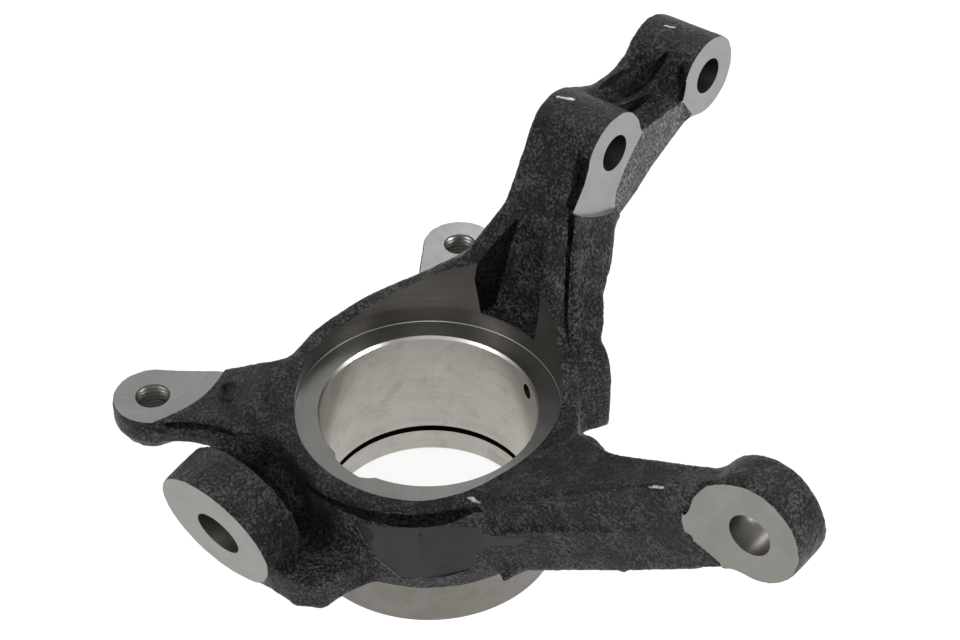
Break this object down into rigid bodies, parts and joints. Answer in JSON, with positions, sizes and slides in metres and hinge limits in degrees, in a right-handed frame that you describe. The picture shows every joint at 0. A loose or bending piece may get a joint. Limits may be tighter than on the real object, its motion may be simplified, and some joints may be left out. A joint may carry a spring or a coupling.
{
  "type": "steering knuckle",
  "caption": "Cast steering knuckle with a bearing bore, bosses for strut bolts, a steering arm with tie rod boss, a tilted ball joint boss and ears for the brake caliper.",
  "frame": {"origin": "on the bearing bore's axis, in the plane of the machined ring face around its mouth", "axes": "+Z along the bore's axis, out of the ring face towards the drive shaft; +X along the strut bolts, towards the steering arm; +Y towards the strut"},
  "size_m": [0.2548, 0.2419, 0.1435],
  "materials": {
    "casting": "black coated rough casting with bare machined faces and bores"
  },
  "bodies": {
    "root": {"knuckle": "casting"}
  },
  "joints": []
}
